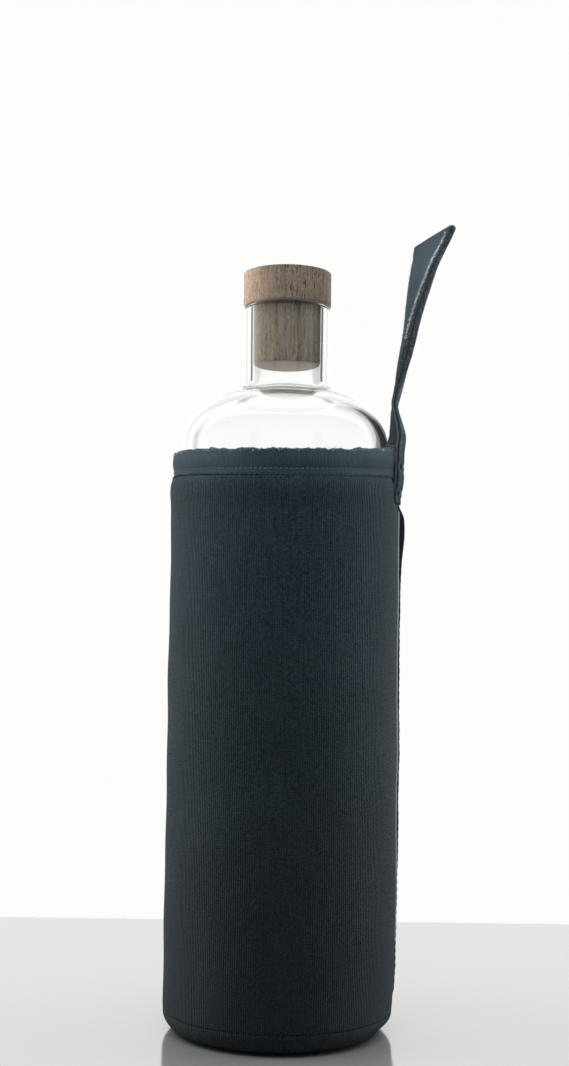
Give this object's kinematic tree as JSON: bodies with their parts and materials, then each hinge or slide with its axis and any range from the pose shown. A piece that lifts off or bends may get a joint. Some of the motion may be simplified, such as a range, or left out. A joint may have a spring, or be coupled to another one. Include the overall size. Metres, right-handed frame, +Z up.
{
  "type": "glass water bottle",
  "caption": "Clear glass water bottle with a turned wooden stopper, in a close-fitting knit-faced neoprene sleeve with a sewn-on carrying strap loop.",
  "frame": {"origin": "centre of the sleeve's flat underside, on the bottle's axis", "axes": "+Z up along the bottle's axis, +X towards the carrying strap"},
  "size_m": [0.0983, 0.0812, 0.2779],
  "materials": {
    "clear_glass": "clear, fire-polished",
    "turned_wood": "bare, finely turned",
    "sleeve_knit": "matt ribbed knit over neoprene",
    "hem_knit": "matt smooth knit over neoprene",
    "strap_knit": "matt smooth knit over neoprene",
    "stitching": "spun sewing thread"
  },
  "bodies": {
    "sleeve": {"sleeve_base": "sleeve_knit", "sleeve_wall": "sleeve_knit", "hem_band": "hem_knit", "side_seam_binding": "sleeve_knit", "hem_stitching": "stitching", "base_stitching": "stitching", "side_seam_stitching": "stitching", "strap_sewn_end": "strap_knit", "upper_bar_tack": "stitching", "lower_bar_tack": "stitching"},
    "bottle": {"glass_bottle": "clear_glass"},
    "stopper": {"stopper_head": "turned_wood", "stopper_plug": "turned_wood"},
    "strap": {"strap_loop": "strap_knit"}
  },
  "joints": [
    {"name": "bottle_lift", "type": "slide", "parent": "sleeve", "child": "bottle", "axis": [0, 0, 1], "range_m": [0, 0.2]},
    {"name": "stopper_pull", "type": "slide", "parent": "bottle", "child": "stopper", "axis": [0, 0, 1], "range_m": [0, 0.04]},
    {"name": "strap_swing", "type": "hinge", "parent": "sleeve", "child": "strap", "pos_m": [0.0424, 0, 0.1984], "axis": [0, 1, 0], "range_deg": [-18, 150], "stiffness_Nm_per_rad": 0.01}
  ]
}
